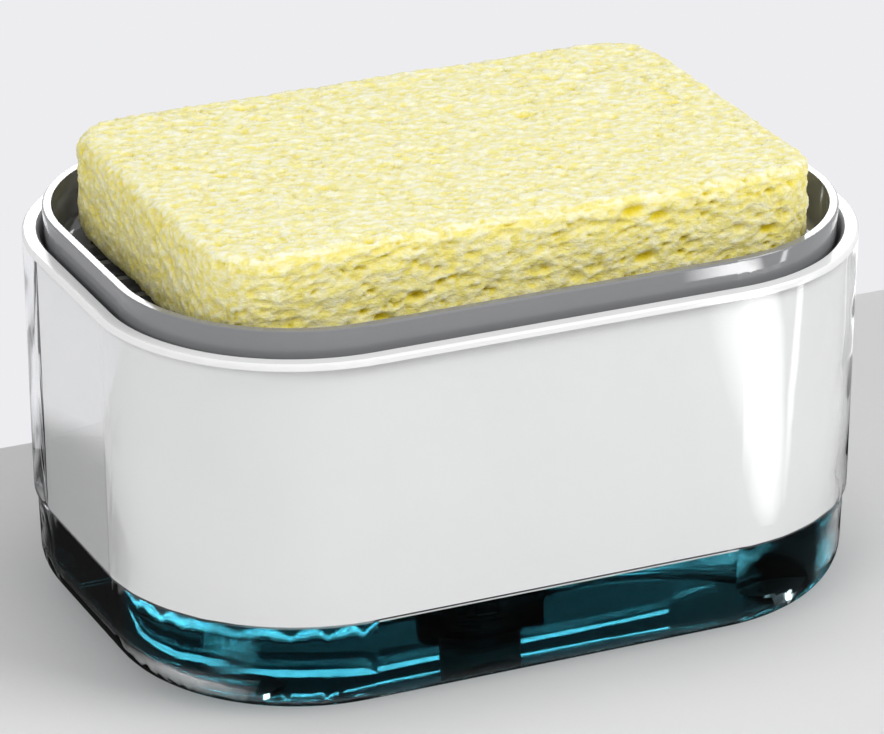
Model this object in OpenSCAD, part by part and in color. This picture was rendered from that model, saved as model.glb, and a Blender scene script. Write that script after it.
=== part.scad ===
// Soap pump caddy: a clear reservoir, a white upper housing with a piston pump in its
// deck, and a press tray that carries the sponge. Millimetres, +Z up, width along X,
// front towards -Y. The origin is on the counter, under the middle of the body.

/* [Body] */
// Width of the caddy over its rim
body_w = 140; // [126:1:170]
// Depth of the caddy over its rim
body_d = 102; // [94:1:126]
// Corner radius of the body in plan, at the rim
corner_r = 36; // [29:0.5:42]
// Height of the rim above the counter
rim_h = 67; // [58:0.5:82]
// How far each wall leans in between the rim and the shoulder
wall_lean = 0.7; // [0.2:0.1:1.2]

/* [Reservoir] */
// Wall of the clear reservoir above its shoulder
shell_wall = 1.5; // [1.2:0.1:1.8]
// Wall of the clear reservoir below its shoulder
tank_wall = 2; // [1.6:0.1:2.6]
// Thickness of the reservoir floor
floor_t = 2.2; // [1.8:0.1:3]
// Height of the shoulder where the white sleeve ends
shoulder_h = 18; // [16:0.5:24]
// How far the lower wall steps in at the shoulder
shoulder_step = 0.6; // [0.3:0.1:1]
// Radius of the outer bottom edge
base_r = 7; // [4:0.5:8]
// Radius of the shallow sump that the suction foot stands in
sump_r = 13.5; // [13:0.1:16]
// Depth of the sump
sump_depth = 0.8; // [0.4:0.1:1.2]

/* [Anti-slip pads] */
// Radius of each round pad
pad_r = 5; // [4:0.5:7]
// Thickness of each pad
pad_t = 1.4; // [1.2:0.1:2]
// How far the pads stand out below the floor
pad_proud = 0.8; // [0.4:0.1:1]
// Distance of each pad centre from the outer side walls
pad_inset = 23; // [20:0.5:27]

/* [Housing] */
// Wall of the white sleeve
sleeve_wall = 1.2; // [1:0.1:1.5]
// Thickness of the flange that lies on the reservoir rim
flange_t = 1.2; // [1:0.1:2]
// Width of the bevel inside the rim
rim_bevel = 0.6; // [0.3:0.1:0.8]
// Thickness of the deck that carries the pump
deck_t = 2; // [1.6:0.1:3]
// Outer radius of the pump neck
neck_r = 12.6; // [12.2:0.1:12.8]
// Height of the pump neck above the deck
neck_h = 6.5; // [5:0.1:7]
// Thickness of the ribs below the deck
rib_t = 1.4; // [1:0.1:2]
// Depth of the ribs below the deck
rib_h = 5; // [3:0.5:7]

/* [Press tray] */
// Clearance between the tray and the sleeve, along the straight sides
tray_gap = 0.6; // [0.4:0.1:1.2]
// How much rounder the tray corners are than the sleeve's
tray_rounder = 0; // [0:0.1:3]
// Height of the tray lip above the rim
tray_rise = 4.4; // [2:0.1:6]
// Full height of the tray
tray_h = 12; // [11:0.5:14]
// Wall of the tray
tray_wall = 1.6; // [1.3:0.1:2]
// How far the tray wall leans in from the lip to the floor
tray_lean = 0.6; // [0.2:0.1:1]
// Thickness of the tray floor
tray_floor_t = 2; // [1.6:0.1:2.6]
// Height of the ribs that the sponge lies on
tray_rib_h = 1.5; // [1.4:0.1:2]
// Width of the ribs that the sponge lies on
tray_rib_w = 1.6; // [1.2:0.1:2.2]
// Distance between the rows of ribs, with a row of slots between each two
row_pitch = 8; // [6:0.5:10]
// Flat margin between the ends of the ribs and the tray's inside fillet
rib_margin = 2; // [1:0.5:5]
// Width of a drain slot
slot_w = 2.4; // [1.6:0.1:3]
// Length of a drain slot
slot_l = 12; // [8:0.5:14]
// Depth of the splash skirt round the pump collar
skirt_h = 9; // [6:0.5:10]

/* [Pump] */
// Inner radius of the pump cylinder
cyl_bore_r = 6.2; // [6:0.05:6.4]
// Wall of the pump cylinder
cyl_wall = 1.4; // [1:0.1:1.8]
// Radius of the hollow stem
stem_r = 3.6; // [3.4:0.1:3.8]
// Outer radius of the locking collar
collar_r = 15.5; // [15:0.1:16]
// Length of the piston
piston_l = 7; // [6:0.5:8]
// Wire diameter of the return spring
spring_wire = 0.9; // [0.6:0.1:1]
// Radius of the inlet ball
inlet_ball_r = 2.4; // [2.2:0.1:2.6]
// Radius of the outlet ball
outlet_ball_r = 1.9; // [1.8:0.05:2]
// Height of the inlet valve's cage above the edge of the suction foot
valve_rise = 14.5; // [14:0.1:17]
// Radius of the suction foot
foot_r = 12; // [11:0.1:12.4]

/* [Sponge] */
// Clearance between the sponge and the tray wall at each end
sponge_gap_x = 7.8; // [6:0.1:14]
// Clearance between the sponge and the tray wall at front and back
sponge_gap_y = 8.2; // [6:0.1:12]
// Radius of the sponge's corners in plan
sponge_corner_r = 10.5; // [7:0.5:16]
// Thickness of the sponge
sponge_h = 18; // [14:0.5:30]
// Radius of the sponge's worn edges
sponge_edge_r = 2.2; // [1:0.1:4]
// How much the top and bottom of the sponge swell
sponge_crown = 0.5; // [0.2:0.1:1]

/* [Hidden] */
$fn = 96;
// Clearance between pieces that lift apart
lift_gap = 0.3;
// Radial clearance of a sliding fit
slide_gap = 0.05;
// Length that a cut runs past the faces it cuts
overrun = 1;

// Corner centres of the body's rounded outline
run_x = body_w / 2 - corner_r;
run_y = body_d / 2 - corner_r;

// Reservoir, measured outwards from the corner centres
base_z = pad_proud;
floor_z = base_z + floor_t;
shell_top = rim_h - flange_t;
shell_out_low = corner_r - wall_lean;
tank_out_top = shell_out_low - shoulder_step;
tank_lean = wall_lean / 2;
tank_out_low = tank_out_top - tank_lean;
tank_in_top = tank_out_top - tank_wall;
tank_in_low = tank_out_low - tank_wall;
tank_in_r = base_r - tank_wall;
ledge_z = shoulder_h;
shell_in_top = corner_r - shell_wall;
shell_in_low = shell_out_low - shell_wall;
sump_z = floor_z - sump_depth;

// Housing sleeve, measured outwards from the corner centres
sleeve_z = ledge_z + lift_gap;
sleeve_out_top = shell_in_top - lift_gap;
sleeve_out_low = shell_in_low - lift_gap;
sleeve_in_top = sleeve_out_top - sleeve_wall;
sleeve_in_low = sleeve_out_low - sleeve_wall;
flange_edge = 0.4;

// Tray levels and outline
tray_top = rim_h + tray_rise;
tray_under = tray_top - tray_h;
tray_floor_z = tray_under + tray_floor_t;
tray_inset = corner_r - sleeve_in_top + tray_gap;
tray_corner_r = corner_r - tray_inset + tray_rounder;
tray_run_x = body_w / 2 - tray_inset - tray_corner_r;
tray_run_y = body_d / 2 - tray_inset - tray_corner_r;
tray_out_low = tray_corner_r - tray_lean;
tray_edge_r = 2;
tray_fillet_r = 3;
tray_lip_bevel = 0.3;
rib_top = tray_floor_z + tray_rib_h;

// Pump levels, from the floor up to the cage and from the tray down to the head
foot_z = sump_z + lift_gap;
cage_t = 2;
cage_z = foot_z + valve_rise;
cage_top = cage_z + cage_t;
head_flange_t = 1.8;
head_flange_r = 13;
head_drop = 1.4;
head_flange_z = tray_under - head_flange_t;
head_z = head_flange_z - head_drop;

// The spring and the stroke share the height that is left between the cage and the head
cap_flange_t = 1.4;
cap_plug_l = 4;
plug_flange_t = 1.2;
spring_turns = 7;
coil_gap = 0.1;
spring_solid = spring_turns * (spring_wire + coil_gap);
pump_stack = cap_flange_t + cap_plug_l + piston_l + plug_flange_t + spring_solid + 2 * lift_gap;
press_travel = (head_z - cage_top - pump_stack) / 2;
spring_l = spring_solid + press_travel;

// Cylinder and neck levels
cap_top = head_z - press_travel - lift_gap;
cyl_top = cap_top - cap_flange_t;
cyl_flange_t = 1.2;
gasket_t = 0.8;
neck_top = cyl_top - cyl_flange_t - gasket_t;
deck_top = neck_top - neck_h;
deck_z = deck_top - deck_t;
neck_wall = 2.2;
neck_bore_r = neck_r - neck_wall;

// Pump collar and cap
collar_wall = 2;
collar_z = deck_top + lift_gap;
collar_hole_r = 8.6;
cap_flange_r = collar_hole_r - lift_gap;
cap_plug_z = cyl_top - cap_plug_l;
mouth_step = 0.7;
cyl_mouth_r = cyl_bore_r + mouth_step;

// Piston, stem and spring
piston_top = cap_plug_z - lift_gap;
piston_z = piston_top - piston_l;
stem_step = 0.6;
piston_hole_r = stem_r - stem_step;
plug_clearance = 1.2;
plug_flange_r = cyl_bore_r - plug_clearance;
plug_z = piston_z - plug_flange_t;
stem_bore_r = 1.5;
plug_hole_r = 0.8;
stem_grip = 3.6;
stem_top = head_z + stem_grip;
cage_hole_r = 1.8;
spring_inset = 0.3;
spring_r = plug_flange_r - spring_wire / 2 - spring_inset;

// Valves at the two ends of the pump
ball_lift = 0.8;
ball_seat_gap = 0.1;
inlet_ball_z = cage_z - ball_lift - inlet_ball_r;
inlet_port_r = 1.6;
inlet_room_gap = 0.8;
inlet_room_r = inlet_ball_r + inlet_room_gap;
seat_angle = 45;
inlet_seat_z = inlet_ball_z - (inlet_ball_r + ball_seat_gap) / cos(seat_angle) + inlet_port_r;
outlet_room_gap = 0.4;
outlet_room_r = outlet_ball_r + outlet_room_gap;
outlet_ball_z = stem_top - ball_lift - outlet_ball_r;
outlet_seat_z = outlet_ball_z - (outlet_ball_r + ball_seat_gap) / cos(seat_angle) + stem_bore_r;

// Tail of the cylinder, dip tube and suction foot
tail_wall = 1.2;
tube_r = 3;
tube_wall = 0.8;
tail_r = tube_r + tail_wall;
tail_grip = 3.2;
tail_end_t = 0.8;
tail_socket_top = inlet_seat_z - tail_end_t;
tail_z = tail_socket_top - tail_grip;
tube_clearance = 2;
tube_z = sump_z + tube_clearance;
foot_wall = 1.2;
foot_web_t = 1.2;
foot_sleeve_h = 2.5;
foot_notches = 6;
foot_notch_w = 3.6;
foot_notch_h = 2.4;

// Head and nozzle in the middle of the tray
hub_hole_r = 8;
hub_gap = 0.4;
hub_r = hub_hole_r - hub_gap;
hub_drop = 0.8;
hub_top = tray_floor_z - hub_drop;
head_socket_wall = 2;
spigot_r = 5.5;
spigot_h = 0.6;
seal_t = 0.8;
seal_w = 2.2;
seal_inset = 1;
seal_in_r = hub_r + seal_inset;
cap_dome_h = 2.1;
cap_dome_t = 0.8;
cap_edge_r = 1;
jet_r = 0.7;
jet_ring_r = 3.2;
jet_count = 4;

// A profile carried round the body's rounded outline, x measured from the corner centres
module carried_round(half_x, half_y) {
    for (side = [0, 1]) {
        rotate([0, 0, side * 180]) {
            translate([half_x, half_y, 0])
                rotate_extrude(angle = 90) children();
            translate([-half_x, half_y, 0])
                rotate([0, 0, 90]) rotate_extrude(angle = 90) children();
            translate([half_x, half_y, 0])
                rotate([90, 0, 0]) linear_extrude(2 * half_y) children();
            translate([-half_x, half_y, 0])
                rotate([90, 0, 90]) linear_extrude(2 * half_x) children();
        }
    }
}

// The flat middle between the corner centres
module middle_block(half_x, half_y, low, high) {
    translate([-half_x, -half_y, low]) cube([2 * half_x, 2 * half_y, high - low]);
}

// A round ring or disc between two levels
module ring(outer, inner, low, high) {
    difference() {
        translate([0, 0, low]) cylinder(r = outer, h = high - low);
        if (inner > 0)
            translate([0, 0, low - overrun]) cylinder(r = inner, h = high - low + 2 * overrun);
    }
}

module reservoir_outside() {
    polygon([
        [0, base_z + base_r], [tank_out_low, base_z + base_r], [tank_out_top, shoulder_h],
        [shell_out_low, shoulder_h + shoulder_step], [corner_r, shell_top], [0, shell_top]
    ]);
    translate([0, base_z]) square([tank_out_low - base_r, base_r]);
    translate([tank_out_low - base_r, base_z + base_r]) circle(base_r);
}

module reservoir_inside() {
    polygon([
        [0, floor_z + tank_in_r], [tank_in_low, floor_z + tank_in_r], [tank_in_top, ledge_z],
        [shell_in_low, ledge_z], [shell_in_top, shell_top], [shell_in_top, shell_top + overrun],
        [0, shell_top + overrun]
    ]);
    translate([0, floor_z]) square([tank_in_low - tank_in_r, tank_in_r]);
    translate([tank_in_low - tank_in_r, floor_z + tank_in_r]) circle(tank_in_r);
}

// The places of the four pads
module at_pads() {
    for (x = [-1, 1], y = [-1, 1])
        translate([x * (body_w / 2 - pad_inset), y * (body_d / 2 - pad_inset), 0]) children();
}

module reservoir() {
    color([0.86, 0.9, 0.93, 0.5])
    difference() {
        union() {
            carried_round(run_x, run_y) difference() {
                reservoir_outside();
                reservoir_inside();
            }
            middle_block(run_x, run_y, base_z, floor_z);
        }
        translate([0, 0, sump_z]) cylinder(r = sump_r, h = sump_depth + overrun);
        at_pads() translate([0, 0, base_z - overrun])
            cylinder(r = pad_r + slide_gap, h = pad_t - pad_proud + overrun);
    }
}

module anti_slip_pads() {
    color([0.8, 0.82, 0.84])
    at_pads() cylinder(r = pad_r, h = pad_t);
}

// Sleeve, rim flange and deck of the housing in one outline
module housing_outline() {
    polygon([
        [sleeve_in_low, sleeve_z], [sleeve_out_low, sleeve_z], [sleeve_out_top, shell_top],
        [corner_r, shell_top], [corner_r, rim_h - flange_edge], [corner_r - flange_edge, rim_h],
        [sleeve_in_top + rim_bevel, rim_h], [sleeve_in_top, rim_h - rim_bevel]
    ]);
    translate([0, deck_z]) square([sleeve_in_low + sleeve_wall / 2, deck_t]);
}

module housing() {
    rib_reach_x = run_x + sleeve_in_low + sleeve_wall / 2;
    rib_reach_y = run_y + sleeve_in_low + sleeve_wall / 2;
    color([0.93, 0.93, 0.93])
    difference() {
        union() {
            carried_round(run_x, run_y) housing_outline();
            middle_block(run_x, run_y, deck_z, deck_top);
            ring(neck_r, 0, deck_z, neck_top);
            translate([-rib_reach_x, -rib_t / 2, deck_z - rib_h]) cube([2 * rib_reach_x, rib_t, rib_h]);
            translate([-rib_t / 2, -rib_reach_y, deck_z - rib_h]) cube([rib_t, 2 * rib_reach_y, rib_h]);
            ring(neck_r, 0, deck_z - rib_h, deck_z);
        }
        translate([0, 0, deck_z - rib_h - overrun])
            cylinder(r = neck_bore_r, h = neck_top - deck_z + rib_h + 2 * overrun);
    }
}

module pump_collar() {
    grip_count = 36;
    grip_r = 0.5;
    color([0.93, 0.93, 0.93])
    difference() {
        ring(collar_r, collar_hole_r, collar_z, cap_top);
        translate([0, 0, collar_z - overrun])
            cylinder(r = collar_r - collar_wall, h = cyl_top - collar_z + overrun);
        for (i = [0 : grip_count - 1])
            rotate([0, 0, i * 360 / grip_count]) translate([collar_r + grip_r / 2, 0, collar_z - overrun])
                cylinder(r = grip_r, h = cyl_top - collar_z, $fn = 24);
    }
}

module collar_gasket() {
    color([0.35, 0.37, 0.4])
    ring(neck_r, neck_bore_r, neck_top, neck_top + gasket_t);
}

module cylinder_outline() {
    difference() {
        union() {
            translate([0, tail_socket_top]) square([cyl_bore_r + cyl_wall, cyl_top - tail_socket_top]);
            translate([0, cyl_top - cyl_flange_t]) square([neck_r, cyl_flange_t]);
            translate([0, tail_z]) square([tail_r, tail_grip + tail_end_t]);
        }
        translate([0, cage_z]) square([cyl_bore_r, cyl_top - cage_z + overrun]);
        translate([0, cap_plug_z]) square([cyl_mouth_r, cap_plug_l + overrun]);
        polygon([
            [0, cage_z + overrun], [inlet_room_r, cage_z + overrun],
            [inlet_room_r, inlet_seat_z + inlet_room_r - inlet_port_r],
            [inlet_port_r, inlet_seat_z], [0, inlet_seat_z]
        ]);
        translate([0, tail_z]) square([inlet_port_r, inlet_seat_z - tail_z + overrun]);
        translate([0, tail_z - overrun]) square([tube_r, tail_grip + overrun]);
    }
}

module pump_cylinder() {
    vent_r = 0.8;
    color([0.88, 0.9, 0.9])
    difference() {
        rotate_extrude() cylinder_outline();
        translate([0, 0, piston_top + vent_r / 2]) rotate([0, 90, 0])
            translate([0, 0, cyl_bore_r - overrun]) cylinder(r = vent_r, h = cyl_wall + 2 * overrun);
    }
}

module cylinder_cap() {
    color([0.93, 0.93, 0.93])
    difference() {
        union() {
            ring(cap_flange_r, 0, cyl_top, cap_top);
            ring(cyl_mouth_r, 0, cap_plug_z, cyl_top);
        }
        translate([0, 0, cap_plug_z - overrun])
            cylinder(r = stem_r + slide_gap, h = cap_top - cap_plug_z + 2 * overrun);
    }
}

module dip_tube() {
    color([0.85, 0.88, 0.9])
    difference() {
        ring(tube_r, tube_r - tube_wall, tube_z, tail_socket_top);
        translate([0, 0, tube_z]) rotate([0, 30, 0])
            translate([-3 * tube_r, -3 * tube_r, -6 * tube_r]) cube(6 * tube_r);
    }
}

module suction_foot() {
    color([0.85, 0.9, 0.93])
    difference() {
        union() {
            ring(foot_r, foot_r - foot_wall, foot_z, tail_z);
            ring(foot_r, tube_r + slide_gap, tail_z - foot_web_t, tail_z);
            ring(tail_r + foot_wall, tail_r, tail_z, tail_z + foot_sleeve_h);
        }
        for (i = [0 : foot_notches - 1])
            rotate([0, 0, i * 360 / foot_notches])
                translate([foot_r - 2 * foot_wall, -foot_notch_w / 2, foot_z - overrun])
                    cube([3 * foot_wall, foot_notch_w, foot_notch_h + overrun]);
    }
}

module inlet_ball() {
    color([0.75, 0.76, 0.78])
    translate([0, 0, inlet_ball_z]) sphere(r = inlet_ball_r);
}

module ball_cage() {
    slot_t = 1;
    color([0.93, 0.93, 0.93])
    difference() {
        ring(cyl_bore_r, cage_hole_r, cage_z, cage_top);
        for (turn = [0, 90])
            rotate([0, 0, turn]) translate([-inlet_room_r, -slot_t / 2, cage_z - overrun])
                cube([2 * inlet_room_r, slot_t, cage_t + 2 * overrun]);
    }
}

// Height of the spring wire's centre line, with one closed turn at each end
function spring_rise(turn) =
    let (
        closed = spring_wire + coil_gap,
        open = (spring_l - spring_wire - 2 * closed) / (spring_turns - 2)
    )
    turn < 1 ? turn * closed
    : turn < spring_turns - 1 ? closed + (turn - 1) * open
    : closed + (spring_turns - 2) * open + (turn - spring_turns + 1) * closed;

module pump_spring() {
    steps_per_turn = 20;
    sides = 8;
    steps = spring_turns * steps_per_turn;
    wire_r = spring_wire / 2;
    points = [
        for (i = [0 : steps], k = [0 : sides - 1])
            let (
                turn = i / steps_per_turn,
                angle = turn * 360,
                around = k * 360 / sides,
                out = spring_r + wire_r * cos(around)
            )
            [out * cos(angle), out * sin(angle), wire_r + spring_rise(turn) + wire_r * sin(around)]
    ];
    skin = [
        for (i = [0 : steps - 1], k = [0 : sides - 1])
            let (a = i * sides + k, b = i * sides + (k + 1) % sides)
            each [[a, b + sides, b], [a, a + sides, b + sides]]
    ];
    first_end = [for (k = [0 : sides - 1]) k];
    last_end = [for (k = [sides - 1 : -1 : 0]) steps * sides + k];
    color([0.72, 0.73, 0.75])
    translate([0, 0, cage_top]) polyhedron(points, concat(skin, [first_end, last_end]));
}

module stem_plug() {
    spigot_l = 3;
    color([0.93, 0.93, 0.93])
    difference() {
        union() {
            ring(plug_flange_r, 0, plug_z, piston_z);
            ring(stem_bore_r, 0, piston_z, piston_z + spigot_l);
        }
        translate([0, 0, plug_z - overrun])
            cylinder(r = plug_hole_r, h = plug_flange_t + spigot_l + 2 * overrun, $fn = 32);
    }
}

// The piston's two sealing lips with a waist between them
module piston_outline() {
    lip_h = 1.2;
    lip_slope = 0.6;
    waist_in = 1.3;
    waist_r = cyl_bore_r - waist_in;
    seal_r = cyl_bore_r - slide_gap;
    polygon([
        [piston_hole_r, piston_z], [seal_r - lip_slope, piston_z], [seal_r, piston_z + lip_h / 2],
        [seal_r, piston_z + lip_h], [waist_r, piston_z + 2 * lip_h],
        [waist_r, piston_top - 2 * lip_h], [seal_r, piston_top - lip_h],
        [seal_r, piston_top - lip_h / 2], [seal_r - lip_slope, piston_top], [piston_hole_r, piston_top]
    ]);
}

module piston() {
    color([0.8, 0.84, 0.88])
    rotate_extrude() piston_outline();
}

module stem() {
    color([0.93, 0.93, 0.93])
    rotate_extrude() difference() {
        union() {
            translate([0, piston_top]) square([stem_r, stem_top - piston_top]);
            translate([0, piston_z]) square([piston_hole_r, piston_l]);
        }
        translate([0, piston_z - overrun]) square([stem_bore_r, stem_top - piston_z + 2 * overrun]);
        polygon([
            [0, outlet_seat_z], [stem_bore_r, outlet_seat_z],
            [outlet_room_r, outlet_seat_z + outlet_room_r - stem_bore_r],
            [outlet_room_r, stem_top + overrun], [0, stem_top + overrun]
        ]);
    }
}

module outlet_ball() {
    color([0.75, 0.76, 0.78])
    translate([0, 0, outlet_ball_z]) sphere(r = outlet_ball_r);
}

module pump_head() {
    color([0.93, 0.93, 0.93])
    difference() {
        union() {
            ring(stem_r + head_socket_wall, 0, head_z, head_flange_z);
            ring(head_flange_r, 0, head_flange_z, tray_under);
            ring(hub_r, 0, tray_under, hub_top);
            ring(spigot_r, 0, hub_top, hub_top + spigot_h);
        }
        translate([0, 0, head_z - overrun]) cylinder(r = stem_r, h = stem_grip + overrun);
        translate([0, 0, head_z]) cylinder(r = stem_bore_r, h = hub_top + spigot_h - head_z + overrun);
        ring(seal_in_r + seal_w, seal_in_r, tray_under - seal_t, tray_under + overrun);
    }
}

module head_seal() {
    color([0.35, 0.37, 0.4])
    ring(seal_in_r + seal_w, seal_in_r, tray_under - seal_t, tray_under);
}

module nozzle_cap() {
    cap_step = 0.3;
    cap_r = hub_r - cap_step;
    color([0.93, 0.93, 0.93])
    difference() {
        rotate_extrude() {
            translate([0, hub_top]) square([cap_r, cap_dome_h - cap_edge_r]);
            translate([0, hub_top]) square([cap_r - cap_edge_r, cap_dome_h]);
            intersection() {
                translate([cap_r - cap_edge_r, hub_top + cap_dome_h - cap_edge_r]) circle(cap_edge_r);
                square([cap_r, hub_top + cap_dome_h]);
            }
        }
        translate([0, 0, hub_top - overrun])
            cylinder(r = spigot_r, h = cap_dome_h - cap_dome_t + overrun);
        for (i = [0 : jet_count - 1])
            rotate([0, 0, i * 360 / jet_count]) translate([jet_ring_r, 0, hub_top])
                cylinder(r = jet_r, h = cap_dome_h + overrun, $fn = 32);
        translate([0, 0, hub_top]) cylinder(r = jet_r, h = cap_dome_h + overrun, $fn = 32);
    }
}

module tray_outside() {
    polygon([
        [0, tray_under + tray_edge_r], [tray_out_low, tray_under + tray_edge_r],
        [tray_corner_r, tray_top - tray_lip_bevel], [tray_corner_r - tray_lip_bevel, tray_top],
        [0, tray_top]
    ]);
    translate([0, tray_under]) square([tray_out_low - tray_edge_r, tray_edge_r]);
    translate([tray_out_low - tray_edge_r, tray_under + tray_edge_r]) circle(tray_edge_r);
}

module tray_inside() {
    in_low = tray_out_low - tray_wall;
    in_top = tray_corner_r - tray_wall;
    polygon([
        [0, tray_floor_z + tray_fillet_r], [in_low, tray_floor_z + tray_fillet_r],
        [in_top, tray_top], [in_top, tray_top + overrun], [0, tray_top + overrun]
    ]);
    translate([0, tray_floor_z]) square([in_low - tray_fillet_r, tray_fillet_r]);
    translate([in_low - tray_fillet_r, tray_floor_z + tray_fillet_r]) circle(tray_fillet_r);
}

// A slot with round ends, centred, its length along X
module slot_outline(length, width) {
    square([length - width, width], center = true);
    for (end = [-1, 1]) translate([end * (length - width) / 2, 0]) circle(width / 2, $fn = 32);
}

// Rows of ribs and slots, counted from the middle of the floor
tray_flat_r = tray_out_low - tray_wall - tray_fillet_r;
rib_start = hub_hole_r * 2;
rib_row_count = floor((tray_run_y + tray_flat_r - rib_margin) / row_pitch);
slot_rows = [for (i = [-rib_row_count : rib_row_count - 1]) (i + 0.5) * row_pitch];

// How far along X a row at this y may reach on the flat floor
function row_reach(y) =
    let (beyond = max(0, abs(y) + rib_margin - tray_run_y))
    tray_run_x + sqrt(tray_flat_r * tray_flat_r - beyond * beyond) - rib_margin;

module tray_ribs() {
    for (side = [-1, 1], i = [-rib_row_count : rib_row_count]) {
        y = i * row_pitch;
        length = row_reach(y) - rib_start;
        translate([side * (rib_start + length / 2), y, tray_floor_z - tray_floor_t / 2])
            linear_extrude(tray_rib_h + tray_floor_t / 2) slot_outline(length, tray_rib_w);
    }
}

module tray_slots() {
    slot_step = slot_l + 2 * slot_w;
    for (side = [-1, 1], y = slot_rows, nth = [0, 1])
        translate([side * (row_reach(y) - slot_l / 2 - nth * slot_step), y, tray_under - overrun])
            linear_extrude(tray_floor_t + 2 * overrun) slot_outline(slot_l, slot_w);
}

module press_tray() {
    skirt_gap = 1;
    skirt_wall = 1.2;
    skirt_r = collar_r + skirt_gap;
    color([0.62, 0.63, 0.64])
    difference() {
        union() {
            carried_round(tray_run_x, tray_run_y) difference() {
                tray_outside();
                tray_inside();
            }
            middle_block(tray_run_x, tray_run_y, tray_under, tray_floor_z);
            tray_ribs();
            ring(skirt_r + skirt_wall, skirt_r, tray_under - skirt_h, tray_under);
        }
        tray_slots();
        translate([0, 0, tray_under - overrun]) cylinder(r = hub_hole_r, h = tray_floor_t + 2 * overrun);
    }
}

// The sponge's outline, inside the tray wall at the floor
sponge_run_x = tray_run_x + tray_out_low - tray_wall - sponge_gap_x - sponge_corner_r;
sponge_run_y = tray_run_y + tray_out_low - tray_wall - sponge_gap_y - sponge_corner_r;

// One level of the sponge: a rounded rectangle drawn in by inset
function sponge_ring(level, inset) =
    let (
        steps = 8,
        r = sponge_corner_r,
        half = [sponge_run_x, sponge_run_y],
        signs = [[1, 1], [-1, 1], [-1, -1], [1, -1]]
    )
    [for (quarter = [0 : 3], s = [0 : steps])
        let (a = quarter * 90 + s * 90 / steps)
        [
            signs[quarter][0] * half[0] + (r - inset) * cos(a),
            signs[quarter][1] * half[1] + (r - inset) * sin(a),
            level
        ]
    ];

module sponge() {
    edge_steps = 4;
    bottom = rib_top + lift_gap;
    side_low = bottom + sponge_crown + sponge_edge_r;
    side_high = bottom + sponge_h - sponge_crown - sponge_edge_r;
    waist = sponge_crown;
    low_edge = [for (i = [0 : edge_steps])
        let (a = i * 90 / edge_steps)
        [side_low - sponge_edge_r * cos(a), sponge_edge_r * (1 - sin(a))]];
    high_edge = [for (i = [0 : edge_steps])
        let (a = i * 90 / edge_steps)
        [side_high + sponge_edge_r * sin(a), sponge_edge_r * (1 - cos(a))]];
    crown_in = sponge_corner_r - sponge_edge_r;
    levels = concat(
        [[bottom, crown_in]],
        low_edge,
        [[(side_low + side_high) / 2, waist]],
        high_edge,
        [[bottom + sponge_h, crown_in]]
    );
    rings = [for (l = levels) sponge_ring(l[0], l[1])];
    count = len(rings[0]);
    points = [for (r = rings, p = r) p];
    skin = [
        for (i = [0 : len(rings) - 2], k = [0 : count - 1])
            let (a = i * count + k, b = i * count + (k + 1) % count)
            each [[a, a + count, b + count], [a, b + count, b]]
    ];
    floor_face = [for (k = [0 : count - 1]) k];
    top_face = [for (k = [count - 1 : -1 : 0]) (len(rings) - 1) * count + k];
    color([0.96, 0.93, 0.62])
    polyhedron(points, concat(skin, [floor_face, top_face]));
}

reservoir();
anti_slip_pads();
housing();
pump_collar();
collar_gasket();
pump_cylinder();
cylinder_cap();
dip_tube();
suction_foot();
inlet_ball();
ball_cage();
pump_spring();
stem_plug();
piston();
stem();
outlet_ball();
pump_head();
head_seal();
nozzle_cap();
press_tray();
sponge();
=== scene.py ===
import math

import bmesh
import bpy
import numpy as np
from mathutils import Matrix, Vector, noise


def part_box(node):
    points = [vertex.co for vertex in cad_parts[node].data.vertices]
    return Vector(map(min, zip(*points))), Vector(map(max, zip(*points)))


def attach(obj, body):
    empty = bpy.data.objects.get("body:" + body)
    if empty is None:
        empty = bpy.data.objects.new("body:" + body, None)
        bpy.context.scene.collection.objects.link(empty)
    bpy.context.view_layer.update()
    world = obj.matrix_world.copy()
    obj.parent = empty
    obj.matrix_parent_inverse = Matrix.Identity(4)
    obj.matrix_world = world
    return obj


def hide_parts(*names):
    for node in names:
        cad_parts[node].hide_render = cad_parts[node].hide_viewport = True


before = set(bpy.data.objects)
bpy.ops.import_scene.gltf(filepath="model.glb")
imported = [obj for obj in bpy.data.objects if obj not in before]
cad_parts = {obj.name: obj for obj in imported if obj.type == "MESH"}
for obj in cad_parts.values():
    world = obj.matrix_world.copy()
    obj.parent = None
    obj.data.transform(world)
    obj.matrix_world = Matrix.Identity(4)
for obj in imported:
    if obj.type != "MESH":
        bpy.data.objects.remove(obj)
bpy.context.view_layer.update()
MM = 0.001

# The reservoir in mm: straight runs along X and Y with round corners between them
RESERVOIR_LOW, RESERVOIR_HIGH = [[round(c / MM, 2) for c in corner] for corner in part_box("reservoir")]
CORNER_R = 36.0
RUN_X = RESERVOIR_HIGH[0] - CORNER_R
RUN_Y = RESERVOIR_HIGH[1] - CORNER_R
# Its inside: the wall's radius above the fillet and under the shoulder, and the floor with its sump
WALL_LOW_R = 32.35
WALL_TOP_R = 32.7
FILLET_R = 5.0
FLOOR_T = 2.2
FLOOR_Z = RESERVOIR_LOW[2] + FLOOR_T
SUMP_R = 13.5
SUMP_DEPTH = 0.8
# The soap's level shows just under the white sleeve
UNDER_SLEEVE = 0.6
SOAP_LEVEL = round(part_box("housing")[0].z / MM, 2) - UNDER_SLEEVE

# A Mix node's colours are its inputs 6 and 7, and input 0 is the share of the second
FIRST_COLOUR, SECOND_COLOUR = 6, 7


def linear(colour):
    """An sRGB hex colour as linear RGBA."""
    parts = [int(colour[i : i + 2], 16) / 255 for i in (1, 3, 5)]
    return [p / 12.92 if p <= 0.04045 else ((p + 0.055) / 1.055) ** 2.4 for p in parts] + [1.0]


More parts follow.
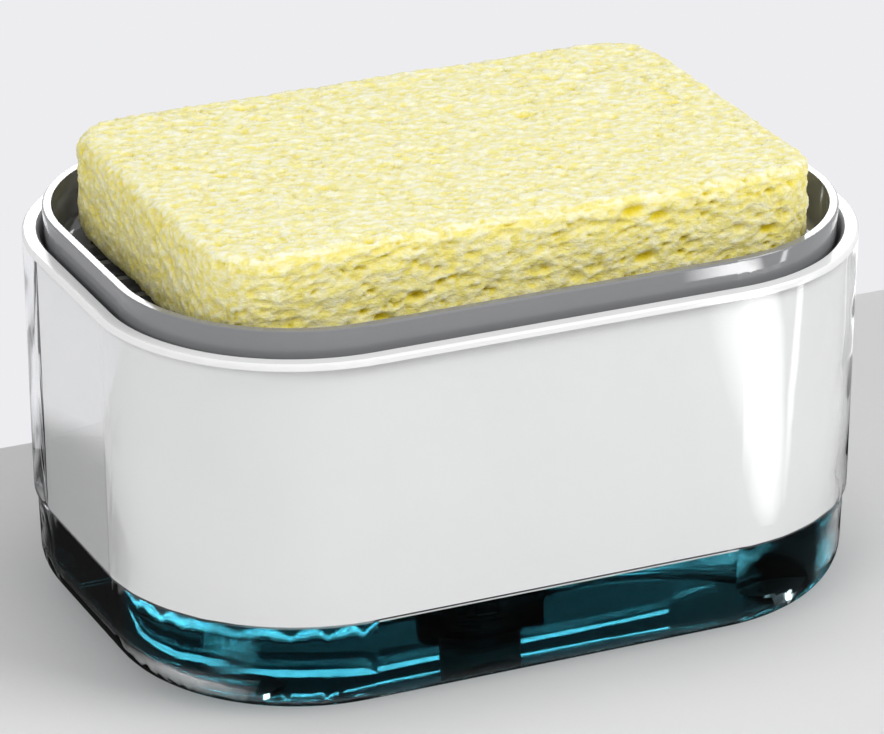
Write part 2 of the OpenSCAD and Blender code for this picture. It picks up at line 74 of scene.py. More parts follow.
def add(tree, kind, inputs=(), **settings):
    """One node with its settings; inputs gives each socket a value, or the node or socket that feeds it."""
    made = tree.nodes.new(kind)
    for name, value in settings.items():
        setattr(made, name, value)
    for name, value in dict(inputs).items():
        if isinstance(value, bpy.types.Node):
            value = next(socket for socket in value.outputs if socket.enabled)
        if isinstance(value, bpy.types.NodeSocket):
            tree.links.new(value, made.inputs[name])
        else:
            made.inputs[name].default_value = value
    return made


def new_material(name):
    """A material and its empty tree."""
    material = bpy.data.materials.new(name)
    material.use_nodes = True
    material.node_tree.nodes.clear()
    return material, material.node_tree


def mottled(tree, size, detail=2.0, stretch=(1, 1, 1)):
    """Noise over the object's own coordinates with spots of about this size in mm."""
    place = add(tree, "ShaderNodeTexCoord").outputs["Object"]
    scale = [1 / (size * MM * longer) for longer in stretch]
    spread = add(tree, "ShaderNodeMapping", {"Vector": place, "Scale": scale})
    return add(tree, "ShaderNodeTexNoise", {"Vector": spread, "Scale": 1.0, "Detail": detail})


def moulded_plastic(name, first, second, rough, ior, grain, depth, **sockets):
    """Moulded plastic: two near tones in soft clouds, an uneven gloss, and the mould's own grain.

    grain is the width of its spots and depth is how deep they go, in mm."""
    material, tree = new_material(name)
    cloud_size, gloss_size = 18.0, 5.0
    tones = {0: mottled(tree, cloud_size), FIRST_COLOUR: linear(first), SECOND_COLOUR: linear(second)}
    gloss = {"Value": mottled(tree, gloss_size), "From Min": 0.3, "From Max": 0.7}
    gloss.update({"To Min": 0.85 * rough, "To Max": 1.2 * rough})
    relief = {"Height": mottled(tree, grain), "Distance": depth * MM, "Strength": 1.0}
    inputs = {
        "Base Color": add(tree, "ShaderNodeMix", tones, data_type="RGBA"),
        "Roughness": add(tree, "ShaderNodeMapRange", gloss),
        "IOR": ior,
        "Normal": add(tree, "ShaderNodeBump", relief),
    }
    surface = add(tree, "ShaderNodeBsdfPrincipled", {**inputs, **sockets})
    add(tree, "ShaderNodeOutputMaterial", {"Surface": surface})
    return material


def lit_through(tree, surface, tint):
    """A clear surface that bends what is seen through it, but lets lamps light what is behind it."""
    rays = add(tree, "ShaderNodeLightPath")
    kinds = {0: rays.outputs["Is Shadow Ray"], 1: rays.outputs["Is Diffuse Ray"]}
    lighting = add(tree, "ShaderNodeMath", kinds, operation="MAXIMUM")
    plain = add(tree, "ShaderNodeBsdfTransparent", {"Color": linear(tint)})
    return add(tree, "ShaderNodeMixShader", {0: lighting, 1: surface, 2: plain})


def past(tree, value, limit):
    """How far a value lies past a limit, and 0 before it."""
    more = add(tree, "ShaderNodeMath", {0: value, 1: limit}, operation="SUBTRACT")
    return add(tree, "ShaderNodeMath", {0: more, 1: 0.0}, operation="MAXIMUM")


def straight_across(tree, *sides):
    """The long side of a right-angled triangle with these two short sides."""
    squares = [add(tree, "ShaderNodeMath", {0: s, 1: s}, operation="MULTIPLY") for s in sides]
    total = add(tree, "ShaderNodeMath", {0: squares[0], 1: squares[1]}, operation="ADD")
    return add(tree, "ShaderNodeMath", {0: total}, operation="SQRT")


def middle_part(tree, x):
    """1 between the ends of the reservoir, fading to 0 where its walls turn to the left and right."""
    full_x, none_x = 52.0, 60.0
    aside = add(tree, "ShaderNodeMath", {0: x}, operation="ABSOLUTE")
    inputs = {"Value": aside, "From Min": full_x * MM, "From Max": none_x * MM, "To Min": 1.0, "To Max": 0.0}
    return add(tree, "ShaderNodeMapRange", inputs)


def touched_by_soap(tree):
    """1 where soap wets the reservoir's inner wall and floor, and 0 at the ends and on its outside."""
    into_wall = 1.2
    place = add(tree, "ShaderNodeTexCoord").outputs["Object"]
    x, y, z = add(tree, "ShaderNodeSeparateXYZ", {0: place}).outputs
    aside = [add(tree, "ShaderNodeMath", {0: axis}, operation="ABSOLUTE") for axis in (x, y)]
    beside = [past(tree, far, run * MM) for far, run in zip(aside, (RUN_X, RUN_Y))]
    out = past(tree, straight_across(tree, *beside), (WALL_TOP_R - FILLET_R) * MM)
    down = past(tree, (FLOOR_Z + FILLET_R) * MM, z)
    measures = (straight_across(tree, out, down), FILLET_R + into_wall), (z, SOAP_LEVEL)
    wet = middle_part(tree, x)
    for measure, limit in measures:
        within = add(tree, "ShaderNodeMath", {0: measure, 1: limit * MM}, operation="LESS_THAN")
        wet = add(tree, "ShaderNodeMath", {0: wet, 1: within}, operation="MULTIPLY")
    return wet


STYRENE_IOR, SOAP_IOR = 1.58, 1.36


def clear_styrene(name, holds_soap):
    """Clear moulded styrene: bright edges, hardly any tint, and the slow waves of a moulded wall.

    Where soap wets the wall, it bends light as styrene against soap does, though the meshes stay apart."""
    material, tree = new_material(name)
    wave_size, wave_depth, upright = 14.0, 0.004, (1, 1, 3)
    waves = {"Height": mottled(tree, wave_size, 1.0, upright), "Distance": wave_depth * MM, "Strength": 1.0}
    inputs = {
        "Base Color": linear("#ffffff"),
        "Roughness": 0.0,
        "IOR": STYRENE_IOR,
        "Transmission Weight": 1.0,
        "Specular Tint": linear("#9a9a9a"),
        "Normal": add(tree, "ShaderNodeBump", waves),
    }
    surface = add(tree, "ShaderNodeBsdfPrincipled", inputs)
    if holds_soap:
        wet = add(tree, "ShaderNodeBsdfPrincipled", {**inputs, "IOR": STYRENE_IOR / SOAP_IOR})
        surface = add(tree, "ShaderNodeMixShader", {0: touched_by_soap(tree), 1: surface, 2: wet})
    tint = add(tree, "ShaderNodeVolumeAbsorption", {"Color": linear("#bcd7dd"), "Density": 10.0})
    surface = lit_through(tree, surface, "#f9f9f9")
    add(tree, "ShaderNodeOutputMaterial", {"Surface": surface, "Volume": tint})
    return material


def blue_soap():
    """Clear blue dish soap: cyan where it is thin, close to black through the whole depth.

    It bends light at its top and at the ends. Along the front and back the wall has done that."""
    material, tree = new_material("blue_dish_soap")
    below_surface = SOAP_LEVEL + 0.3
    inputs = {
        "Base Color": linear("#ffffff"),
        "Roughness": 0.0,
        "IOR": SOAP_IOR,
        "Transmission Weight": 1.0,
        "Specular Tint": linear("#404040"),
    }
    free = add(tree, "ShaderNodeBsdfPrincipled", inputs)
    on_wall = add(tree, "ShaderNodeBsdfPrincipled", {**inputs, "IOR": 1.0})
    place = add(tree, "ShaderNodeTexCoord").outputs["Object"]
    x, _, z = add(tree, "ShaderNodeSeparateXYZ", {0: place}).outputs
    beside_wall = add(tree, "ShaderNodeMath", {0: z, 1: below_surface * MM}, operation="LESS_THAN")
    wetting = add(tree, "ShaderNodeMath", {0: beside_wall, 1: middle_part(tree, x)}, operation="MULTIPLY")
    surface = add(tree, "ShaderNodeMixShader", {0: wetting, 1: free, 2: on_wall})
    tint = add(tree, "ShaderNodeVolumeAbsorption", {"Color": linear("#79b9c0"), "Density": 72.0})
    surface = lit_through(tree, surface, "#ffffff")
    add(tree, "ShaderNodeOutputMaterial", {"Surface": surface, "Volume": tint})
    return material


def bare_steel(name, rough, line_size, stretch):
    """Stainless steel: light grey metal whose gloss breaks up along the lines of its making, in mm."""
    material, tree = new_material(name)
    lines = mottled(tree, line_size, 3.0, stretch)
    tones = {0: lines, FIRST_COLOUR: linear("#b9bbbe"), SECOND_COLOUR: linear("#d3d4d6")}
    inputs = {
        "Base Color": add(tree, "ShaderNodeMix", tones, data_type="RGBA"),
        "Metallic": 1.0,
        "Roughness": add(
            tree, "ShaderNodeMapRange", {"Value": lines, "To Min": 0.7 * rough, "To Max": 1.4 * rough}
        ),
    }
    surface = add(tree, "ShaderNodeBsdfPrincipled", inputs)
    add(tree, "ShaderNodeOutputMaterial", {"Surface": surface})
    return material


def cellulose_foam():
    """Dry cellulose sponge: near-white ridges, stronger yellow down in the pores, no gloss. The paler crests
    are a painted highlight, and the deeper yellow in the pores is painted shade and the painted glow of light
    in the foam.
    """
    material, tree = new_material("cellulose_sponge_cut")
    streak_size, streak_stretch = 1.1, (1.8, 1, 1)
    fibre_size, fibre_stretch, fibre_depth = 0.4, (1.6, 1, 1), 0.25
    streaks = mottled(tree, streak_size, 3.0, streak_stretch)
    streaks = add(tree, "ShaderNodeMapRange", {"Value": streaks, "From Min": 0.38, "From Max": 0.62})
    ridge = {0: streaks, FIRST_COLOUR: linear("#fcfadf"), SECOND_COLOUR: linear("#f5ec9a")}
    # The pores' deeper yellow, read from the mesh, is painted shade and the painted glow of light in the foam
    pores = {
        0: add(tree, "ShaderNodeAttribute", attribute_name="pore_depth").outputs["Fac"],
        FIRST_COLOUR: add(tree, "ShaderNodeMix", ridge, data_type="RGBA"),
        SECOND_COLOUR: linear("#e9d634"),
    }
    fibres = mottled(tree, fibre_size, 3.0, fibre_stretch)
    relief = {"Height": fibres, "Distance": fibre_depth * MM, "Strength": 1.0}
    inputs = {
        "Base Color": add(tree, "ShaderNodeMix", pores, data_type="RGBA"),
        "Roughness": add(tree, "ShaderNodeMapRange", {"Value": fibres, "To Min": 0.85, "To Max": 1.0}),
        "Subsurface Weight": 0.2,
        "Subsurface Radius": [1.0, 0.8, 0.3],
        "Subsurface Scale": 1.2 * MM,
        "Specular IOR Level": 0.2,
        "Sheen Weight": 0.15,
        "Normal": add(tree, "ShaderNodeBump", relief),
    }
    surface = add(tree, "ShaderNodeBsdfPrincipled", inputs)
    add(tree, "ShaderNodeOutputMaterial", {"Surface": surface})
    return material


def pale_counter():
    """Honed pale stone: plain and without gloss, with hardly visible clouds."""
    material, tree = new_material("pale_counter_honed")
    cloud_size, grit_size, grit_depth = 60.0, 1.2, 0.02
    clouds = mottled(tree, cloud_size)
    tones = {0: clouds, FIRST_COLOUR: linear("#dddddd"), SECOND_COLOUR: linear("#e3e3e3")}
    relief = {"Height": mottled(tree, grit_size), "Distance": grit_depth * MM, "Strength": 1.0}
    inputs = {
        "Base Color": add(tree, "ShaderNodeMix", tones, data_type="RGBA"),
        "Roughness": add(tree, "ShaderNodeMapRange", {"Value": clouds, "To Min": 0.75, "To Max": 0.85}),
        "Specular IOR Level": 0.0,
        "Normal": add(tree, "ShaderNodeBump", relief),
    }
    surface = add(tree, "ShaderNodeBsdfPrincipled", inputs)
    add(tree, "ShaderNodeOutputMaterial", {"Surface": surface})
    return material


def milky(weight, reach):
    """Sockets for a plastic that light enters, with its reach in mm."""
    return {"Subsurface Weight": weight, "Subsurface Scale": reach * MM}


# Real mould grains are too fine for the render, so they are drawn 0.2 to 0.7 mm wide to show
FINISHES = {
    # Polished clear walls: sharp reflections, and soap seen right through them
    "wall_styrene": clear_styrene("clear_styrene_wall", holds_soap=True),
    "clear_styrene": clear_styrene("clear_styrene_polished", holds_soap=False),
    # High-gloss ABS from a polished mould: a clean white that mirrors the lamps
    "white_abs": moulded_plastic(
        "white_abs_gloss", "#ececec", "#f0f0ef", rough=0.16, ior=1.53, grain=0.7, depth=0.004
    ),
    # Satin polypropylene: softer lights, and edges that glow a little
    "white_polypropylene": moulded_plastic(
        "white_polypropylene_satin", "#e9e9e7", "#efeeec",
        rough=0.38, ior=1.49, grain=0.5, depth=0.01, **milky(0.1, 1),
    ),
    # Polypropylene without pigment: milky, so that light spreads inside the cylinder and the tube
    "natural_polypropylene": moulded_plastic(
        "natural_polypropylene_milky", "#dfe4e4", "#e6eae9",
        rough=0.3, ior=1.49, grain=0.6, depth=0.01, **milky(0.4, 2),
    ),
    # Soft polyethylene: waxy and bluish, with broad dull lights
    "polyethylene": moulded_plastic(
        "polyethylene_waxy", "#cfd8e2", "#d8dfe6",
        rough=0.42, ior=1.51, grain=0.4, depth=0.01, **milky(0.3, 1),
    ),
    # Gloss ABS in mid grey: a crisp light along the tray's lip
    "grey_abs": moulded_plastic(
        "grey_abs_gloss", "#818284", "#858688", rough=0.07, ior=1.53, grain=0.7, depth=0.002
    ),
    # Die-cut EPDM rubber: matt, with a fine tooth
    "grey_rubber": moulded_plastic(
        "grey_epdm_matt", "#585c62", "#62666b", rough=0.7, ior=1.5, grain=0.2, depth=0.02
    ),
    # Smoke silicone from an etched mould: dark, with hardly a light on it
    "silicone": moulded_plastic(
        "smoke_silicone_matt", "#25282b", "#2b2e31",
        rough=0.6, ior=1.41, grain=0.3, depth=0.01, **milky(0.1, 1),
    ),
    # Cold-drawn spring wire: fine lines, drawn coarser than real ones so that they show
    "steel_wire": bare_steel("stainless_wire_drawn", rough=0.25, line_size=0.15, stretch=(1, 1, 6)),
    # Lapped bearing balls: almost a mirror
    "steel_ball": bare_steel("stainless_ball_polished", rough=0.06, line_size=0.3, stretch=(1, 1, 1)),
    "soap": blue_soap(),
    "sponge": cellulose_foam(),
    "counter": pale_counter(),
}

NODE_FINISHES = {
    "reservoir": "wall_styrene",
    "suction_foot": "clear_styrene",
    "anti_slip_pads": "silicone",
    "housing": "white_abs",
    "pump_collar": "white_polypropylene",
    "cylinder_cap": "white_polypropylene",
    "stem": "white_polypropylene",
    "stem_plug": "white_polypropylene",
    "pump_head": "white_polypropylene",
    "nozzle_cap": "white_polypropylene",
    "ball_cage": "white_polypropylene",
    "pump_cylinder": "natural_polypropylene",
    "dip_tube": "natural_polypropylene",
    "piston": "polyethylene",
    "collar_gasket": "grey_rubber",
    "head_seal": "grey_rubber",
    "inlet_ball": "steel_ball",
    "outlet_ball": "steel_ball",
    "pump_spring": "steel_wire",
    "press_tray": "grey_abs",
}


def dress_nodes():
    """Each CAD node in its finish, and the moulded shells shaded evenly round their corners."""
    seam = 0.002
    for name, finish in NODE_FINISHES.items():
        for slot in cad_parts[name].material_slots:
            slot.material = FINISHES[finish]
    for name in ("reservoir", "housing", "press_tray"):
        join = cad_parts[name].modifiers.new("seams_joined", "WELD")
        join.merge_threshold = seam * MM
        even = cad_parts[name].modifiers.new("even_shading", "WEIGHTED_NORMAL")
        even.keep_sharp = True


def new_piece(name, mesh, finish):
    """An object of this mesh in the scene, with its finish."""
    piece = bpy.data.objects.new(name, mesh)
    bpy.context.scene.collection.objects.link(piece)
    mesh.materials.append(FINISHES[finish])
    return piece


def quarter_turn(steps):
    """Angles from 0 to 90 degrees."""
    return [math.radians(i * 90 / steps) for i in range(steps + 1)]


def rounded_loop(half_x, half_y, radius, level, steps):
    """Points of a rounded rectangle in mm; half_x and half_y reach to its corners' centres."""
    points = []
    for quarter, (sx, sy) in enumerate(((1, 1), (-1, 1), (-1, -1), (1, -1))):
        for i in range(steps + 1):
            a = math.radians(quarter * 90 + i * 90 / steps)
            points.append((sx * half_x + radius * math.cos(a), sy * half_y + radius * math.sin(a), level))
    return points


def ring(bm, points):
    """New vertices at these points, which are in mm."""
    return [bm.verts.new([c * MM for c in point]) for point in points]


def skin(bm, rings):
    """Faces from each ring to the next."""
    for lower, upper in zip(rings, rings[1:]):
        for i in range(len(lower)):
            j = (i + 1) % len(lower)
            bm.faces.new((lower[i], lower[j], upper[j], upper[i]))


def soap_fill():
    """The soap in the reservoir and its sump, with its top hidden by the sleeve."""
    off_wall, climb, inset, crown = 0.15, 0.5, 1.4, 1.2
    bend = FILLET_R - off_wall
    steps, sump_steps = 24, 96
    profile = [
        (WALL_LOW_R - FILLET_R + bend * math.sin(a), FLOOR_Z + FILLET_R - bend * math.cos(a))
        for a in quarter_turn(steps)
    ]
    # It climbs the wall up to the shoulder, and stands higher inside the sleeve, so that no gap shows there
    profile.append((WALL_TOP_R - off_wall, SOAP_LEVEL + climb))
    profile += [(WALL_TOP_R - inset, SOAP_LEVEL + climb), (WALL_TOP_R - inset, SOAP_LEVEL + crown)]
    bm = bmesh.new()
    rings = [ring(bm, rounded_loop(RUN_X, RUN_Y, r, z, steps)) for r, z in profile]
    skin(bm, rings)
    bm.faces.new(rings[-1])
    turn = [math.radians(i * 360 / sump_steps) for i in range(sump_steps)]
    sump_r = SUMP_R - off_wall
    brim, foot = [
        ring(bm, [(sump_r * math.cos(a), sump_r * math.sin(a), z + off_wall) for a in turn])
        for z in (FLOOR_Z, FLOOR_Z - SUMP_DEPTH)
    ]
    skin(bm, [foot, brim])
    bm.faces.new(list(reversed(foot)))
    edges = [
        bm.edges.get((loop[i], loop[(i + 1) % len(loop)]))
        for loop in (rings[0], brim) for i in range(len(loop))
    ]
    bmesh.ops.triangle_fill(bm, use_beauty=True, edges=edges, normal=(0, 0, -1))
    bmesh.ops.recalc_face_normals(bm, faces=bm.faces)
    mesh = bpy.data.meshes.new("soap")
    bm.to_mesh(mesh)
    bm.free()
    mesh.shade_smooth()

    def true_normal(point, face):
        """The normal of the exact surface, because a fan of long triangles shades unevenly without it."""
        level_face, beside_sump = 0.9999, 1.0
        if abs(face.normal.z) > level_face:
            return 0.0, 0.0, math.copysign(1.0, face.normal.z)
        x, y, z = point / MM
        if math.hypot(x, y) < SUMP_R + beside_sump:
            return (x / math.hypot(x, y), y / math.hypot(x, y), 0.0)
        beside = Vector((x - max(-RUN_X, min(RUN_X, x)), y - max(-RUN_Y, min(RUN_Y, y)))).normalized()
        down = min(1.0, max(0.0, (FLOOR_Z + FILLET_R - z) / bend))
        return (*(beside * math.sqrt(1 - down * down)), -down)

    corners = [
        true_normal(mesh.vertices[mesh.loops[i].vertex_index].co, face)
        for face in mesh.polygons for i in face.loop_indices
    ]
    mesh.normals_split_custom_set(corners)
    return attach(new_piece("soap", mesh, "soap"), "base")


def smooth(x, low, high):
    """0 below low, 1 above high, and a smooth step between them."""
    t = np.clip((x - low) / (high - low), 0, 1)
    return t * t * (3 - 2 * t)


def cells(points):
    """For each point: distance to its cell's centre, distance off the cell's wall, and the cell's number."""
    spread = 7.31
    found = np.empty((len(points), 3))
    for i, p in enumerate(points):
        distances, centres = noise.voronoi(p)
        found[i] = distances[0], distances[1] - distances[0], noise.cell(centres[0] * spread)
    return found.T


def sponge_form(low, high):
    """The sponge's block between two corners, with round corners and edges, before its pores."""
    corner, edge, corner_steps, edge_steps = 10.5, 2.2, 10, 6
    size, bottom = (high - low) / MM, low.z / MM
    half_x, half_y, top = size.x / 2, size.y / 2, bottom + size.z
    inner = corner - edge
    bends = quarter_turn(edge_steps)
    profile = [(inner + edge * math.sin(a), bottom + edge - edge * math.cos(a)) for a in bends]
    profile += [(inner + edge * math.cos(a), top - edge + edge * math.sin(a)) for a in bends]
    bm = bmesh.new()
    rings = [ring(bm, rounded_loop(half_x - corner, half_y - corner, r, z, corner_steps)) for r, z in profile]
    skin(bm, rings)
    bm.faces.new(list(reversed(rings[0])))
    bm.faces.new(rings[-1])
    mesh = bpy.data.meshes.new("sponge_body")
    bm.to_mesh(mesh)
    bm.free()
    return mesh


def evenly_meshed(piece, voxel):
    """The piece's mesh in even facets of this size in mm, which then carry its pores."""
    remesh = piece.modifiers.new("even", "REMESH")
    remesh.mode, remesh.voxel_size, remesh.use_smooth_shade = "VOXEL", voxel * MM, True
    mesh = bpy.data.meshes.new_from_object(piece.evaluated_get(bpy.context.evaluated_depsgraph_get()))
    piece.modifiers.clear()
    piece.data = mesh
    return mesh


# Cells run slantwise along the top, along X on the long sides and down the ends.
# Each layer gives their length, width and depth in mm, and how many of them are open pits.
TOP_CELLS = ((5.0, 1.9, 0.5, 0.05), (2.4, 0.9, 0.36, 0.12), (1.5, 0.75, 0.22, 0.12))
SIDE_CELLS = ((4.4, 2.0, 0.6, 0.14), (2.2, 1.0, 0.5, 0.2), (1.3, 0.75, 0.25, 0.1))
CELL_RUNS = {
    2: ((0.72, -0.68, 0.0), TOP_CELLS),
    1: ((1.0, 0.0, 0.05), SIDE_CELLS),
    0: ((0.0, 0.8, 0.6), SIDE_CELLS),
}


def sponge_pores(co, normals):
    """How deep the pores are at each point, in mm, and how yellow, from 0 to 1; co is in mm."""
    tie = 1e-9
    rim, open_wide, shallowest = 0.03, 0.45, 0.25
    pit_core, pit_rim, pit_depth = 0.1, 0.6, 1.6
    # Yellow deepens in the hollows and pits: painted shade, and in the pits also the painted glow of light in
    # the foam
    hollow_yellow, pit_yellow, side_yellow = 0.3, 0.7, 0.3
    depth, yellow = np.zeros(len(co)), np.zeros(len(co))
    for facing, (along, layers) in CELL_RUNS.items():
        chosen = np.abs(normals[:, facing]) >= np.delete(np.abs(normals), facing, 1).max(1) - tie
        long_way = Vector(along).normalized()
        across = long_way.cross(Vector([1.0 if i == facing else 0.0 for i in range(3)])).normalized()
        turned = co[chosen] @ np.array([long_way, across, long_way.cross(across)]).T
        for length, width, sink, pits in layers:
            near, wall, chance = cells([Vector(p) for p in turned / np.array([length, width, width])])
            hollow = smooth(wall, rim, open_wide) * (shallowest + (1 - shallowest) * chance)
            pit = (1 - smooth(near, pit_core, pit_rim)) * smooth(chance, 1 - pits, 1 - pits / 2)
            depth[chosen] += sink * (hollow + pit_depth * pit)
            yellow[chosen] += hollow_yellow * hollow + pit_yellow * pit
        yellow[chosen] += 0.0 if facing == 2 else side_yellow
    return depth, yellow


def sponge_block():
    """The cellulose sponge: a worn block of long open cells, fine on top and coarse on its cut sides."""
    voxel, proud = 0.4, 0.35
    wrinkle_size, wrinkle_depth, falloff, spacing, octaves = 0.9, 0.16, 0.9, 2.1, 2
    swell_size, swell_depth = 16.0, 0.25
    # The wrinkles' crests are drawn paler: a painted highlight
    crest_white = 0.15
    low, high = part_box("sponge")
    bottom = low.z / MM
    piece = new_piece("sponge_body", sponge_form(low, high), "sponge")
    mesh = evenly_meshed(piece, voxel)
    count = len(mesh.vertices)
    co, normals = np.empty(count * 3), np.empty(count * 3)
    mesh.vertices.foreach_get("co", co)
    mesh.vertex_normals.foreach_get("vector", normals)
    co, normals = co.reshape(-1, 3) / MM, normals.reshape(-1, 3)
    depth, yellow = sponge_pores(co, normals)
    wrinkle = np.array([noise.fractal(Vector(p) / wrinkle_size, falloff, spacing, octaves) for p in co])
    swell = np.array([noise.noise(Vector(p) / swell_size) for p in co])
    moved = co + normals * (wrinkle_depth * wrinkle + swell_depth * swell + proud - depth)[:, None]
    moved[:, 2] = np.maximum(moved[:, 2], bottom)
    mesh.vertices.foreach_set("co", (moved * MM).ravel())
    # The colour stored here is a painted highlight on the crests, and painted shade and glow in the pores
    shown = mesh.attributes.new("pore_depth", "FLOAT", "POINT")
    shown.data.foreach_set("value", np.clip(yellow - crest_white * wrinkle, 0, 1).astype(np.float32))
    mesh.update()
    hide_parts("sponge")
    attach(piece, "sponge_block")
    return piece


def counter_top():
    """The plain pale slab under the caddy, in metres, whose back edge lies a hand's width behind it."""
    half_width, front, back, thick = 3.0, -3.0, 0.082, 0.03
    mesh = bpy.data.meshes.new("counter")
    bm = bmesh.new()
    bmesh.ops.create_cube(bm, size=2.0)
    for v in bm.verts:
        v.co = (v.co.x * half_width, back if v.co.y > 0 else front, 0.0 if v.co.z > 0 else -thick)
    bm.to_mesh(mesh)
    bm.free()
    new_piece("counter", mesh, "counter")


def aim(thing, place, target):
    """Puts a lamp, a card or the camera at a place and points it at a target."""
    thing.location = place
    thing.rotation_euler = (Vector(target) - Vector(place)).to_track_quat("-Z", "Y").to_euler()


def softbox(name, place, size, radiance, lights=True, glints=True):
    """A lamp aimed at the caddy, with its width and height in metres; radiance 1 looks white.

    The camera doesn't see it. It may light surfaces, show in their gloss, or both."""
    caddy_middle = (0, 0, 0.04)
    data = bpy.data.lights.new(name, "AREA")
    data.shape, data.size, data.size_y = "RECTANGLE", *size
    data.energy = radiance * math.pi * size[0] * size[1]
    lamp = bpy.data.objects.new(name, data)
    bpy.context.scene.collection.objects.link(lamp)
    aim(lamp, place, caddy_middle)
    lamp.visible_camera = False
    lamp.visible_diffuse, lamp.visible_glossy = lights, glints


# A ray that has crossed more clear faces than this came through a wall and the soap
FACES_TO_SOAP = 4.5


def card(name, place, target, size, radiance, fade=0.0, roll=0.0, seen_in=("gloss",)):
    """A light or black card in metres that shows only in gloss, through clear walls, or through the soap.

    fade makes it a soft oval, and roll turns it in degrees."""
    material, tree = new_material(name)
    there = 1.0
    if fade:
        place_on_card = add(tree, "ShaderNodeTexCoord").outputs["Object"]
        scale = [2 / size[0], 2 / size[1], 1]
        oval = add(tree, "ShaderNodeMapping", {"Vector": place_on_card, "Scale": scale})
        oval = add(tree, "ShaderNodeTexGradient", {"Vector": oval}, gradient_type="SPHERICAL").outputs["Fac"]
        there = add(tree, "ShaderNodeMapRange", {"Value": oval, "From Max": fade})
    if "soap" in seen_in:
        crossed = add(tree, "ShaderNodeLightPath").outputs["Transmission Depth"]
        there = add(tree, "ShaderNodeMath", {0: crossed, 1: FACES_TO_SOAP}, operation="GREATER_THAN")
    glow = add(tree, "ShaderNodeEmission", {"Color": linear("#ffffff"), "Strength": radiance})
    gone = add(tree, "ShaderNodeBsdfTransparent")
    shown = add(tree, "ShaderNodeMixShader", {0: there, 1: gone, 2: glow})
    add(tree, "ShaderNodeOutputMaterial", {"Surface": shown})
    wide, high = size[0] / 2, size[1] / 2
    mesh = bpy.data.meshes.new(name)
    corners = [(-wide, -high, 0), (wide, -high, 0), (wide, high, 0), (-wide, high, 0)]
    mesh.from_pydata(corners, [], [(0, 1, 2, 3)])
    mesh.materials.append(material)
    piece = bpy.data.objects.new(name, mesh)
    bpy.context.scene.collection.objects.link(piece)
    aim(piece, place, target)
    piece.rotation_euler.rotate_axis("Z", math.radians(roll))
    piece.visible_camera = piece.visible_diffuse = piece.visible_shadow = False
    piece.visible_glossy = "gloss" in seen_in
    piece.visible_transmission = "walls" in seen_in or "soap" in seen_in


def pale_room():
    """The room: dim where it lights the caddy, and the photograph's pale grey where it is seen."""
    world = bpy.data.worlds.new("pale_room")
    bpy.context.scene.world = world
    world.use_nodes = True
    tree = world.node_tree
    tree.nodes.clear()
    rays = add(tree, "ShaderNodeLightPath")
    seen = rays.outputs["Is Camera Ray"]
    for kind in ("Is Transmission Ray", "Is Glossy Ray"):
        seen = add(tree, "ShaderNodeMath", {0: seen, 1: rays.outputs[kind]}, operation="MAXIMUM")
    room = add(tree, "ShaderNodeBackground", {"Color": linear("#f5f5f6"), "Strength": 0.45})
    shown = add(tree, "ShaderNodeBackground", {"Color": linear("#ededf0"), "Strength": 1.0})
    mix = add(tree, "ShaderNodeMixShader", {0: seen, 1: room, 2: shown})
    add(tree, "ShaderNodeOutputWorld", {"Surface": mix})


def lamps():
    """Soft plain light from above and from both sides, and a panel behind that only shows in gloss."""
    softbox("overhead", place=(-0.1, 0.1, 1.6), size=(1.2, 1.2), radiance=0.8)
    softbox("right_front", place=(1.05, -1.0, 1.05), size=(0.9, 0.9), radiance=6.7)
    softbox("left_front", place=(-1.4, -0.75, 0.75), size=(1.0, 0.9), radiance=4.1, glints=False)
    softbox("back_panel", place=(0.62, 1.37, 0.64), size=(2.0, 0.5), radiance=6.0, lights=False)


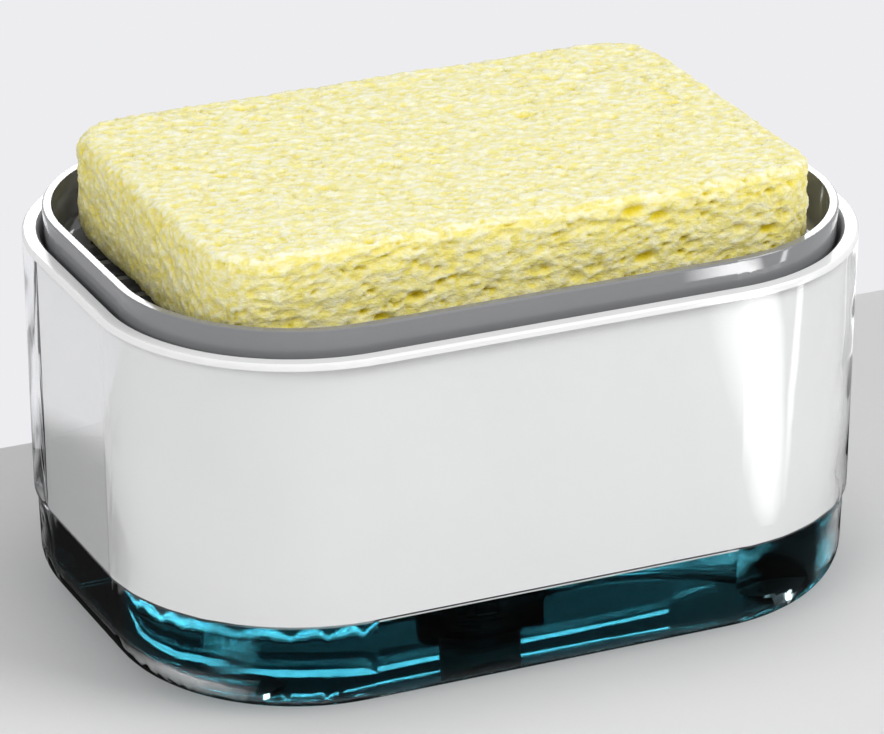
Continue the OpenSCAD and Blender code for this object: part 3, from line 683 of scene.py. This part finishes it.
def cards():
    """The cards that a photographer puts round clear plastic to draw its form, and dark flags on the counter
    that are painted dark reflections.
    """
    # Behind the soap: the teal glow beside the foot, and the two bright lines along the base
    card(
        "glow_card", place=(0.0085, 0.0572, 0.0124), target=(0.0085, 0, 0.0124), size=(0.107, 0.008),
        radiance=1.1, roll=3.0, seen_in=("soap",),
    )
    card(
        "low_strip_card", place=(0.026, 0.0568, 0.0192), target=(0.026, 0, 0.0192), size=(0.058, 0.0074),
        radiance=45.0, roll=3.0, seen_in=("soap",),
    )
    card(
        "high_strip_card", place=(0.026, 0.0568, 0.0047), target=(0.026, 0, 0.0047), size=(0.058, 0.0014),
        radiance=45.0, seen_in=("soap",),
    )
    # At the front right: the white highlight on the round corner, and the thin streak beside it
    card(
        "corner_card", place=(0.061, -0.08, 0.036), target=(0.036, -0.045, 0.036), size=(0.03, 0.08),
        radiance=15.0, fade=0.5, roll=17.0,
    )
    card(
        "streak_card", place=(0.083, -0.068, 0.04), target=(0.045, -0.04, 0.04), size=(0.007, 0.08),
        radiance=8.0, fade=0.6, roll=-8.0,
    )
    # At the right: light inside the edge of the clear wall
    card(
        "edge_card", place=(0.118, 0.04, 0.03), target=(0.07, 0, 0.03), size=(0.03, 0.075),
        radiance=3.0, fade=0.5, seen_in=("walls",),
    )
    # Just above the counter: dark flags, seen only in gloss and the left one also through the walls, that
    # paint dark reflections in the foot and keep the counter's pale tone out of it
    card(
        "dark_reflection_sheet", place=(0, 0, 0.0004), target=(0, 0, -1), size=(0.27, 0.25),
        radiance=0.02, fade=0.25,
    )
    card(
        "left_dark_reflection_sheet", place=(-0.086, 0.02, 0.0006), target=(-0.086, 0.02, -1), size=(0.046, 0.17),
        radiance=0.02, fade=0.2, seen_in=("gloss", "walls"),
    )


def photo_camera():
    """The photograph's view: from the front left, a good 23 degrees down, with a long lens."""
    azimuth, elevation, distance = math.radians(-24.4), math.radians(23.3), 0.939
    target = Vector((0.0003, 0, 0.0392))
    flat = math.cos(elevation)
    back = Vector((math.sin(azimuth) * flat, -math.cos(azimuth) * flat, math.sin(elevation)))
    data = bpy.data.cameras.new("photo_view")
    data.sensor_width, data.lens, data.clip_start = 36.0, 216.0, 0.01
    camera = bpy.data.objects.new("photo_view", data)
    bpy.context.scene.collection.objects.link(camera)
    aim(camera, target + back * distance, target)
    bpy.context.scene.camera = camera


dress_nodes()
soap_fill()
sponge_block()
counter_top()
pale_room()
lamps()
cards()
photo_camera()
bpy.context.scene.view_settings.view_transform = "Standard"
